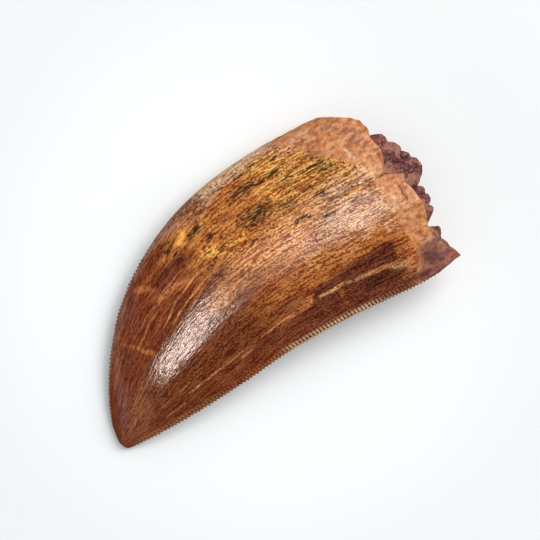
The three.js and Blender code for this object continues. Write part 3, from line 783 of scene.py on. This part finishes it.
# Lines of colour: the places they go through, the half width, the colour and the strength.
LINES = [
    ([(11, 11.9), (13.2, 12.6), (14.6, 13.4), (16.6, 13.8)], 0.11, FAWN, 0.5),
    ([(10.8, 10.5), (12.6, 11.2), (14.2, 12.3), (15.8, 12.9), (17.6, 13.9)], 0.11, FAWN, 0.6),
    ([(12, 9.9), (14.4, 10.7), (16.4, 11.9), (19.4, 12.8)], 0.1, FAWN, 0.4),
    ([(26.9, 10.9), (27.2, 9.3), (27.3, 7.9)], 0.09, UMBER, 0.6),
    ([(15.5, 10.3), (17.5, 11.3), (19.2, 12.3), (22.5, 13.1), (24, 13.8), (26.2, 14.1)], 0.13, FAWN, 0.9),
    ([(17.2, 10.2), (21.2, 11.4), (24.4, 12.1), (28.2, 12.4), (31, 13.1)], 0.14, TAN, 0.8),
    ([(19, 14.8), (21.6, 15.3), (24.4, 15.3)], 0.12, FAWN, 0.6),
    ([(18.6, 16.3), (21.4, 16.9), (24.2, 16.9)], 0.12, SABLE, 0.5),
    ([(24.7, 18.4), (25.3, 17.2), (26.2, 15.6), (27.1, 14.1)], 0.16, RUST, 0.8),
    ([(37, 0.2), (41, 0), (45, -0.4), (49.4, -1)], 0.9, COFFEE, 0.9),
    ([(40, -0.7), (45, -1.4), (49, -2.4)], 0.8, COFFEE, 0.85),
    ([(7.7, -0.4), (11.1, -0.45)], 0.11, TAN, 0.55),
    ([(8.2, 1.1), (12, 1.4), (15.8, 1.65)], 0.12, AMBER, 0.6),
    ([(12.7, 0.36), (21.5, 0.31), (30, 0.25)], 0.12, TAN, 0.6),
    ([(28, 0.3), (31.7, 0), (34.5, -0.3), (35.7, -0.2)], 0.15, TAN, 1),
    ([(36.9, -0.45), (40.5, -1.05)], 0.15, BUFF, 0.9),
    ([(40.5, -1.05), (43.4, -1.95), (45.3, -2.4)], 0.2, SAND, 0.85),
    ([(44.3, -2.2), (47.4, -3), (49.5, -4), (50.3, -4.8)], 0.3, FAWN, 0.75),
    ([(39.9, -1.2), (39.5, -3.4)], 0.4, AMBER, 0.5),
    ([(35.8, -0.15), (36.4, 0.25), (37.5, 0.3), (39.5, 0)], 0.15, SABLE, 0.6),
    (MAIN_CRACK + [(58.1, 6.4)], 0.1, COCOA, 0.9),
    ([(57, 5.4), (56.5, 4.2), (56, 3)], 0.2, BRICK, 0.9),
]

# Areas of black and dark brown specks: x, y, half length, half width, strength.
SOOT = [
    (23.4, 19.7, 1.7, 1.2, 0.85), (28.1, 18.9, 2.6, 0.8, 0.85), (30, 16.9, 2.2, 1, 0.59),
    (30.5, 14.5, 2.2, 0.8, 0.51), (37, 15.2, 4.2, 2.2, 0.85), (37.3, 19.1, 3.4, 1.1, 0.77),
    (40.5, 21.1, 3, 0.6, 0.6), (42.4, 18.4, 2.4, 0.9, 0.72), (43.8, 16.7, 1.8, 0.8, 0.68),
    (49.3, 14.8, 2.2, 1.4, 0.72), (41.5, 13.3, 2.6, 1.4, 0.64), (46.5, 11.6, 3, 1, 0.51),
    (42.5, 10.4, 2.4, 0.9, 0.47), (45.4, 8.3, 1.8, 0.9, 0.68), (47.5, 17.8, 2.6, 1.4, 0.51),
    (46, 19.8, 2.6, 0.8, 0.51), (50.5, 10.8, 2, 2, 0.51),
]


def dab_mask(x, y, place, ragged):
    """A soft oval with a ragged outline."""
    cx, cy, length, width, lean = place
    angle = np.radians(lean)
    along = (x - cx) * np.cos(angle) + (y - cy) * np.sin(angle)
    beside_it = (y - cy) * np.cos(angle) - (x - cx) * np.sin(angle)
    return ease(1.5 - 1.25 * np.hypot(along / length, beside_it / width) + 0.5 * ragged)


def rgba(colour):
    return (*map(float, colour), 1.0)


def opaque(colours):
    return np.concatenate([clamp01(colours), np.ones((len(colours), 1))], 1)


def painted(colour, layers, share=1):
    """Lays paints over a colour. Each layer is a paint and how much of it there is at each point."""
    for paint, mask in layers:
        colour = mix(colour, paint, clamp01(mask * share)[:, None])
    return colour


def dab_layers(dabs, x, y, ragged):
    return [(paint, strength * dab_mask(x, y, where, ragged)) for *where, paint, strength in dabs]


def enamel_layers(x, y, ragged, blotch, grain, facet, stained, sheen_band):
    """The ground colours of the enamel, from the point of the tooth to the root, and last a painted
    reflection along the front edge. Spans of x and y are in millimetres, and the others in noise from -1 to
    1."""
    spread = x + 3 * ragged
    flange = ease((flange_line(x) - y + 0.4 * ragged) / 0.7)
    pale = ramp((28, 36), x + 5 * ragged) * ramp((49, 42), x + 5 * ragged)
    return [
        (CHESTNUT, ramp((4, 11), x)),
        (AMBER, ramp((24, 38), spread)),
        (TAN, ramp((25, 33), x + 4 * ragged) * ramp((5.5, 9.5), y + 2 * ragged)),
        (SAND, ramp((41, 46), spread) * ramp((1.5, 4.5), y + ragged)),
        (UMBER, 0.85 * facet * ease((28 - x + 3 * ragged) / 5)),
        (OCHRE, stained),
        (MUSTARD, 0.95 * stained * ramp((36, 42), x + 4 * blotch)),
        (RUST, 0.35 * stained * ramp((0.02, 0.4), grain + 0.4 * blotch)),
        (GOLD, 0.3 * stained * ramp((0.1, 0.45), -grain - 0.2 * blotch)),
        (RUST, 0.25 * ramp((0.1, 0.45), grain) * ramp((28, 36), x)),
        (UMBER, 0.5 * flange),
        (COFFEE, 0.8 * flange * ramp((24, 36), x) * ramp((56, 51), x)),
        # painted reflection: a grey-tan and beige sheen along the front edge
        (TAUPE, ramp((3, 9), x) * mix(0.45, 0.9, ramp((16, 22), x)) * sheen_band),
        (BEIGE, 0.9 * sheen_band * pale),
    ]


def root_colour(ragged, blotch, grain, fine):
    """The mottled bone of the root."""
    ground = mix(APRICOT, BUFF, 0.6 * ramp((0, 0.5), blotch + 0.8 * grain)[:, None])
    red = 0.55 * ramp((0.1, 0.5), -grain - 0.3 * ragged)
    warm = 0.6 * ramp((0.1, 0.4), fine + 0.5 * blotch)
    return painted(ground, [(BRICK, red), (APRICOT * (1.05, 0.95, 0.7), warm)])


def soot_density(x, y, ragged, blotch, stained, strokes):
    """How dense the dark specks are: in their areas, thinly on all stained enamel, and on the strokes."""
    soot = 0 * x
    for *where, strength in SOOT:
        soot = np.maximum(soot, strength * dab_mask(x, y, (*where, 0), ragged))
    soot = np.maximum(soot, 0.6 * stained * ramp((-0.3, 0.3), blotch + 0.2))
    for _, mask in strokes:
        soot = np.maximum(soot, 2.4 * mask)
    return soot


def tick_marks(x, station, turn):
    """How much the ticks of the rear edge show, and their colour."""
    width = np.linalg.norm(mesial(station) - distal(station), axis=-1)
    strength = 0.9 * ramp((1.25, 0.55), width * across_at(turn)) * ramp((0.035, 0.08), station)
    strength = strength * ramp((0.93, 0.84), station) * mix(0.55, 1, ramp((24, 29), x))
    faint = np.maximum(ramp((15, 18), x) * ramp((29, 26), x), ramp((43, 47), x))
    tint = mix(mix(STRAW, CREAM, ramp((25, 30), x)[:, None]), FAWN, faint[:, None])
    return strength * mix(1, 0.55, ramp((41, 45), x)), tint


def row_place(station):
    """Counts the denticles of the rear edge along the crown."""
    start, end = DISTAL_ROW
    count = round((end - start) * distal_length / PITCH)
    return (station - start) / (end - start) * count


def paint_crown(shell):
    """What the material needs to know at each point: the colours of the stains, with painted reflection and
    highlights among them, and of the ticks on the rear edge, the straightened place, how dense the dark
    specks are, how dull it is, how much the light veins, the grain and the ticks show, and the place in the
    rear edge's row of denticles."""
    point, station, turn = map(shell.get, ("point", "station", "turn"))
    x, y, _ = point.T
    outer = ease((np.sin(turn) + 0.15) / 0.3)
    flow = flow_coordinates(shell)
    place = flow + INNER_NOISE * (1 - outer)[:, None]
    ragged = rough_noise(place * (0.28, 0.7, 0.7), 91, 4)
    blotch = rough_noise(place * (0.12, 0.2, 0.2), 95, 3)
    grain = rough_noise(place * (0.75, 1.7, 1.7), 98, 3)
    fine = rough_noise(place * (1.1, 2.6, 2.6), 99, 2)
    root = ease((station - enamel_end(turn) + 0.012 * ragged) / 0.02 + 0.5)
    facet = ease((y - facet_line(x) + 0.25 * ragged) / 0.5 + 0.5)
    facet_end = facet * ease((29 - x) / 4)
    stained = ramp((20, 26), x + 3 * ragged) * ramp((11, 14), y + 1.5 * ragged)
    # where the painted reflection along the front edge lies; the grain is also kept fainter there
    sheen_band = ease(y - sheen_band_line(x) + 0.6 * ragged)
    corner = ramp((-3, -4.2), y + 0.8 * ragged) * ramp((52.2, 54.2), x - 0.7 * (y + 3.7) + ragged)

    colour = painted(SIENNA + 0 * point, enamel_layers(x, y, ragged, blotch, grain, facet, stained, sheen_band))
    colour = painted(colour, dab_layers(DABS, x, y, ragged), outer)
    colour = painted(colour, [(root_colour(ragged, blotch, grain, fine), root)])
    marks = [(MAUVE, 0.85 * corner)] + dab_layers(ROOT_DABS, x, y, ragged)
    for path, half, paint, strength in LINES:
        marks.append((paint, strength * ease(1.5 - segment_distance(x, y, path) / half + 0.6 * fine)))
    colour = painted(colour, marks, outer) * (1 + 0.12 * ragged + 0.12 * blotch)[:, None]
    strokes = dab_layers(STROKES, x, y, 0.5 * fine)
    colour = painted(colour, strokes, 0.6 * outer)
    ridge = ease(np.cos(turn) * 4) * ease(shell.get("denticle") * 2.2)
    colour = painted(colour, [(COCOA, 0.3 * ease(shell.get("edge") * 2.5)), (FAWN, 0.35 * ridge)])
    ticks, tick_tint = tick_marks(x, station, turn)
    return {
        "tint": opaque(colour),
        "tick_tint": opaque(tick_tint),
        "flow": flow,
        "soot": soot_density(x, y, ragged, blotch, stained * (1 - root), strokes) * outer,
        "dull": clamp01(root + shell.get("broken")),
        "veins": (0.2 + 0.8 * facet_end) * (1 - root) * outer,
        "grit": 1 - 0.35 * np.maximum(0.6 * facet_end, sheen_band),
        "ticks": ticks,
        "row": row_place(station),
    }


# ---- materials


class Shading:
    """A node tree under construction. A value is a number, a colour or another node's output."""

    def __init__(self, tree):
        self.tree = tree

    def feed(self, socket, value):
        if isinstance(value, bpy.types.NodeSocket):
            self.tree.links.new(value, socket)
        else:
            socket.default_value = value

    def node(self, kind, inputs=(), **settings):
        made = self.tree.nodes.new(kind)
        for name, value in settings.items():
            setattr(made, name, value)
        for name, value in dict(inputs).items():
            self.feed(made.inputs[name], value)
        return made

    def out(self, kind, inputs=(), output=0, **settings):
        return self.node(kind, inputs, **settings).outputs[output]

    def fact(self, name, output="Fac"):
        """What the mesh holds under a name at each point."""
        return self.out("ShaderNodeAttribute", output=output, attribute_name=name)

    def math(self, operation, *values, clamp=False):
        return self.out("ShaderNodeMath", enumerate(values), operation=operation, use_clamp=clamp)

    def times(self, *values):
        return reduce(lambda a, b: self.math("MULTIPLY", a, b), values)

    def weighted(self, *parts):
        """A sum of values, each multiplied by its weight."""
        return reduce(lambda total, part: self.math("MULTIPLY_ADD", *part, total), parts, 0.0)

    def vector(self, operation, *values, output=0):
        return self.out("ShaderNodeVectorMath", enumerate(values), output, operation=operation)

    def noise(self, vector, scale, detail=2.0, roughness=0.5, output="Fac"):
        """Noise from 0 to 1 whose features are 1/scale long in each direction."""
        place = self.vector("MULTIPLY", vector, scale)
        inputs = {"Vector": place, "Scale": 1.0, "Detail": detail, "Roughness": roughness}
        return self.out("ShaderNodeTexNoise", inputs, output)

    def between(self, value, low, high, to_low=0.0, to_high=1.0):
        """Maps a value from one range to another with soft ends."""
        inputs = {"Value": value, "From Min": low, "From Max": high, "To Min": to_low, "To Max": to_high}
        return self.out("ShaderNodeMapRange", inputs, interpolation_type="SMOOTHSTEP")

    def mix(self, share, a, b):
        return self.out("ShaderNodeMix", {0: share, 2: a, 3: b}, data_type="FLOAT")

    def blend(self, share, a, b, how="MIX"):
        """Mixes two colours."""
        return self.out("ShaderNodeMix", {0: share, 6: a, 7: b}, 2, data_type="RGBA", blend_type=how)

    def tinted(self, share, colour, tint, factor):
        """The colour, with a share of the tint times a factor for each of red, green and blue over it."""
        return self.blend(share, colour, self.blend(1.0, tint, (*factor, 1), "MULTIPLY"))

    def specks(self, vector, scale, density, sparse, dense):
        """Ragged specks: 1 where a noise is above a threshold that falls as the density rises."""
        threshold = self.math("SUBTRACT", sparse, self.times(density, dense))
        return self.between(self.math("SUBTRACT", self.noise(vector, scale, 1.0), threshold), -0.005, 0.015)

    def line(self, vector, scale, level, half):
        """Fine wandering lines: 1 where a noise passes through a level, and 0 away from there."""
        away = self.math("ABSOLUTE", self.math("SUBTRACT", self.noise(vector, scale, 1.0), level))
        return self.between(away, 0.0, half, 1.0, 0.0)

    def bump(self, height, distance, strength=1.0, **more):
        """The normal over a relief whose height is given in millimetres."""
        inputs = {"Height": height, "Distance": distance * MM, "Strength": strength, **more}
        return self.out("ShaderNodeBump", inputs)


def new_material(name, **settings):
    """A material with a Principled shader, whose own sockets hold what is the same all over."""
    material = bpy.data.materials.new(name)
    material.use_nodes = True
    net = Shading(material.node_tree)
    net.tree.nodes.clear()
    shader = net.node("ShaderNodeBsdfPrincipled", settings)
    net.node("ShaderNodeOutputMaterial", {"Surface": shader.outputs[0]})
    return material, net, shader.inputs


def specked(net, colour, wavy):
    """The colour with dark specks on it."""
    soot = net.fact("soot")
    short = net.specks(wavy, (1.3, 3, 3), soot, 0.76, 0.27)
    speck = net.math("MAXIMUM", short, net.specks(wavy, (0.6, 3.4, 3.4), soot, 0.76, 0.22))
    return net.blend(net.times(speck, net.between(soot, 0.05, 0.3), 0.82), colour, rgba(SABLE))


def ticked(net, colour, strands):
    """The colour with a pale tick for each denticle of the rear edge."""
    tick = net.between(net.math("COSINE", net.times(net.fact("row"), 2 * np.pi)), 0.75, -0.2)
    tick = net.times(tick, net.fact("ticks"), net.between(strands, 0.35, 0.6, 0.45, 1))
    return net.blend(tick, colour, net.fact("tick_tint", "Color"))


def enamel_material():
    """Glossy enamel with the grain, the wrinkles and the marks along it, and the duller root."""
    look = {"Specular IOR Level": 0.5, "Specular Tint": (1, 0.88, 0.8, 1)}
    material, net, inputs = new_material("fossil_enamel", **look)
    flow, tint = net.fact("flow", "Vector"), net.fact("tint", "Color")
    dull, grit = net.fact("dull"), net.fact("grit")
    sway = net.vector("MULTIPLY", net.noise(flow, (0.3, 0.5, 0.5), output="Color"), (0, 0.3, 0.3))
    wavy = net.vector("ADD", flow, sway)
    crisp = net.noise(wavy, (2.6, 4, 4), 1, 0.6)
    strands = net.noise(wavy, (0.28, 3.1, 3.1), 1)
    clouds = net.noise(wavy, (0.25, 0.6, 0.6), 3, 0.6)
    mottle = net.noise(flow, (1.1, 1.3, 1.3), 4, 0.7)
    wrinkle = net.noise(wavy, (0.9, 2.2, 2.2), 1)
    groove = net.between(net.noise(wavy, (0.42, 3.2, 3.2), 1), 0.57, 0.66)
    groove = net.times(groove, net.math("SUBTRACT", 1, dull))

    ripple = net.weighted((crisp, 0.55), (strands, 0.4), (clouds, 0.05))
    share = net.between(net.mix(dull, ripple, net.weighted((mottle, 0.45), (0.5, 0.55))), 0.36, 0.64)
    shade = net.blend(share, (0.4, 0.12, 0, 1), (1.62, 1.9, 2.2, 1))
    colour = net.blend(grit, tint, shade, "MULTIPLY")
    vein = net.times(net.line(wavy, (0.1, 0.8, 0.8), 0.5, 0.028), net.fact("veins"), 0.8)
    colour = net.tinted(vein, colour, tint, (2, 2.1, 2.3))
    colour = net.tinted(net.times(groove, 0.85, grit), colour, tint, (0.45, 0.24, 0.1))
    colour = ticked(net, specked(net, colour, wavy), strands)
    faint = net.between(strands, 0.4, 0.6, 0.2, 0.9)
    for level, factor in ((0.58, (1.25, 1.4, 1.6)), (0.43, (0.7, 0.5, 0.38))):
        wisp = net.line(flow, (0.8, 0.9, 0.9), level, 0.035)
        colour = net.tinted(net.times(wisp, dull, faint), colour, tint, factor)
    net.feed(inputs["Base Color"], colour)

    rough = net.math("ADD", net.between(clouds, 0.25, 0.75, 0.17, 0.26), net.times(dull, 0.12), clamp=True)
    net.feed(inputs["Roughness"], rough)
    height = net.weighted((crisp, 0.3), (strands, 0.35), (wrinkle, 0.7))
    height = net.times(height, net.between(grit, 0.65, 1, 0.35, 1))
    relief = net.bump(net.mix(dull, height, net.times(mottle, 2)), 0.07)
    net.feed(inputs["Normal"], net.bump(groove, -0.006, 0.8, Normal=relief))
    return material


def stone_material():
    """Dark stone with lighter patches and grains, and painted shade where it is deep."""
    material, net, inputs = new_material("dark_sandstone", **{"Specular IOR Level": 0.35})
    place = net.fact("place", "Vector")
    blotch = net.noise(place, (0.7, 0.7, 0.7), 4, 0.6)
    grain = net.noise(place, (2.4, 2.4, 2.4), 3, 0.7)
    patch = net.noise(place, (0.42, 0.42, 0.42), 1)
    dark, light, pale, sandy, black, shadow = map(rgba, paints("43171a 854845 a8725c c98c76 260e0f 331a17"))
    colour = net.blend(net.between(blotch, 0.36, 0.64), dark, light)
    colour = net.blend(net.between(patch, 0.52, 0.62, 0, 0.75), colour, pale)
    colour = net.blend(net.between(grain, 0.53, 0.68, 0, 0.5), colour, sandy)
    colour = net.blend(net.between(grain, 0.46, 0.36, 0, 0.8), colour, black)
    # painted shade: darker on the walls in the cavity and low between the lumps
    colour = net.blend(net.between(net.fact("height"), 0, 0.8, 0.55, 0), colour, shadow)
    net.feed(inputs["Base Color"], colour)
    net.feed(inputs["Roughness"], net.between(grain, 0.2, 0.8, 0.55, 0.8))
    net.feed(inputs["Normal"], net.bump(grain, 0.15, 0.8))
    return material


def floor_material():
    """A pale sheet, faintly cloudy, with painted light: lighter near the tooth and a little darker away
    from it.
    """
    material, net, inputs = new_material("pale_floor", **{"Roughness": 0.9, "Specular IOR Level": 0.2})
    place = net.out("ShaderNodeTexCoord", output="Object")
    cloud = net.between(net.noise(place, (25, 25, 25), 3), 0.3, 0.7)
    colour = net.blend(cloud, (0.91, 0.93, 0.925, 1), (0.925, 0.945, 0.94, 1))
    # painted light: the floor is lighter near the tooth and darker further away
    away = net.between(net.vector("LENGTH", place, output="Value"), 20 * MM, 50 * MM)
    net.feed(inputs["Base Color"], net.blend(away, colour, (0.81, 0.825, 0.82, 1)))
    return material


# ---- pieces


def add_object(name, data):
    made = bpy.data.objects.new(name, data)
    bpy.context.scene.collection.objects.link(made)
    return made


def layout_shift():
    """What moves the tooth's layout, in metres, into the frame: both outlines of the crown line up."""
    crown_low, crown_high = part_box("tooth_crown")
    at = np.linspace(0, 1, 2001)
    left = min(distal(at)[:, 0].min(), mesial(at)[:, 0].min())
    front = mesial(at)[:, 1].max()
    return Vector((crown_low.x - left * MM, crown_high.y - front * MM, crown_low.z))


def new_piece(name, shell, material, node_name):
    mesh = bpy.data.meshes.new(name)
    mesh.from_pydata((shell.get("point") * MM).tolist(), [], shell.faces)
    mesh.validate()
    mesh.update()
    piece = add_object(name, mesh)
    mesh.materials.append(material)
    mesh.shade_smooth()
    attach(piece, "root")
    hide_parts(node_name)
    return piece


def set_points(mesh, points, shift):
    """Puts the points into the frame, in metres, and inside the CAD model's box."""
    moved = np.clip(points * MM + np.array(shift), *map(np.array, cad_box))
    mesh.vertices.foreach_set("co", moved.astype(np.float32).ravel())
    mesh.update()


def set_attributes(mesh, maps):
    """Keeps a number, a vector or a colour for each point, by how many columns its array has."""
    kinds = {1: ("FLOAT", "value"), 3: ("FLOAT_VECTOR", "vector"), 4: ("FLOAT_COLOR", "color")}
    for name, values in maps.items():
        kind, key = kinds[values.size // len(values)]
        made = mesh.attributes.new(name, kind, "POINT")
        made.data.foreach_set(key, np.ascontiguousarray(values, np.float32).ravel())


def make_crown(shift):
    shell = build_crown()
    piece = new_piece("tooth_surface", shell, enamel_material(), "tooth_crown")
    set_points(piece.data, carve_relief(shell, piece.data), shift)
    set_attributes(piece.data, paint_crown(shell))


def make_stone(shift):
    shell = build_stone()
    piece = new_piece("stone_surface", shell, stone_material(), "stone_infill")
    point = shell.get("point")
    set_points(piece.data, point, shift)
    set_attributes(piece.data, {"place": point, "height": shell.get("height")})


# ---- studio

FLOOR_HALF = 1.2
CAMERA_DISTANCE = 1.5
VIEW_WIDTH = 81 * MM  # what the picture takes in at mid-height of the tooth
VIEW_AIM = (33.49, 7.36)  # the middle of the picture, in the tooth's layout
VIEW_TURN = np.radians(-38.3)  # the direction of the tooth's +X is this far from the picture's right
SENSOR = 36
MID_HEIGHT = 6 * MM


def make_floor():
    corners = [(-1, -1), (1, -1), (1, 1), (-1, 1)]
    mesh = bpy.data.meshes.new("floor")
    mesh.from_pydata([(x * FLOOR_HALF, y * FLOOR_HALF, 0) for x, y in corners], [], [(0, 1, 2, 3)])
    mesh.materials.append(floor_material())
    floor = add_object("floor", mesh)
    floor.visible_glossy = False


def make_camera(shift):
    """Straight above the tooth, turned so that it lies as it does in the picture."""
    data = bpy.data.cameras.new("camera")
    data.sensor_width = SENSOR
    data.lens = SENSOR * CAMERA_DISTANCE / VIEW_WIDTH
    data.clip_start = 0.01
    camera = add_object("camera", data)
    aim = Vector((VIEW_AIM[0] * MM + shift.x, VIEW_AIM[1] * MM + shift.y, MID_HEIGHT))
    above = Matrix.Translation(aim + Vector((0, 0, CAMERA_DISTANCE)))
    camera.matrix_world = above @ Matrix.Rotation(VIEW_TURN, 4, "Z")
    bpy.context.scene.camera = camera


def area_light(name, tilt_x, tilt_y, distance, size, energy, colour):
    """A soft light that shines on the tooth. Its direction is straight up, tilted by degrees towards +X and
    towards +Y."""
    data = bpy.data.lights.new(name, "AREA")
    data.shape = "RECTANGLE"
    data.size, data.size_y = size
    data.energy = energy
    data.color = colour
    light = add_object(name, data)
    away = Vector((np.tan(np.radians(tilt_x)), np.tan(np.radians(tilt_y)), 1)).normalized()
    light.location = away * distance
    light.rotation_mode = "QUATERNION"
    light.rotation_quaternion = away.to_track_quat("Z", "Y")
    return light


# Lamps that only show as reflections: name, tilts in degrees, distance, width and length, energy.
GLINTS = [
    ("window", -38.5, 12.5, 1, (0.24, 0.17), 4.1),
    ("far window", -29.5, 15.5, 1, (0.2, 0.15), 2.9),
    ("lamp", 2, 14, 1, (0.2, 0.14), 1.6),
]


def make_lights():
    area_light("softbox", 36, 5, 1.2, (0.8, 0.8), 10.5, (1, 0.995, 0.99))
    for glint in GLINTS:
        area_light(*glint, (1, 0.99, 0.98)).visible_diffuse = False
    make_world()
    bpy.context.scene.view_settings.view_transform = "Standard"


SKY_SIDE = (-0.35, 0.94, 0)  # where the brightest part of the surroundings is
SKY_HORIZON, SKY_ZENITH, SKY_BELOW = 1.25, 0.5, 0.2
SKY_FAR_SIDE = 0.93  # how bright the opposite side is, as a share


def make_world():
    """Pale surroundings that are bright low down, brighter on one side, and dim overhead."""
    world = bpy.data.worlds.new("studio")
    world.use_nodes = True
    net = Shading(world.node_tree)
    direction = net.out("ShaderNodeTexCoord", output="Generated")
    height = net.out("ShaderNodeSeparateXYZ", {"Vector": direction}, "Z")
    side = net.vector("DOT_PRODUCT", direction, SKY_SIDE, output="Value")
    strength = net.times(
        net.between(height, 0, 0.9, SKY_HORIZON, SKY_ZENITH),
        net.between(height, -0.05, 0.05, SKY_BELOW, 1),
        net.between(side, -1, 1, SKY_FAR_SIDE, 1),
    )
    background = net.tree.nodes["Background"].inputs
    net.feed(background["Color"], (0.93, 0.965, 1, 1))
    net.feed(background["Strength"], strength)
    bpy.context.scene.world = world
    world.cycles_visibility.glossy = False


shift = layout_shift()
make_floor()
make_camera(shift)
make_lights()
make_crown(shift)
make_stone(shift)
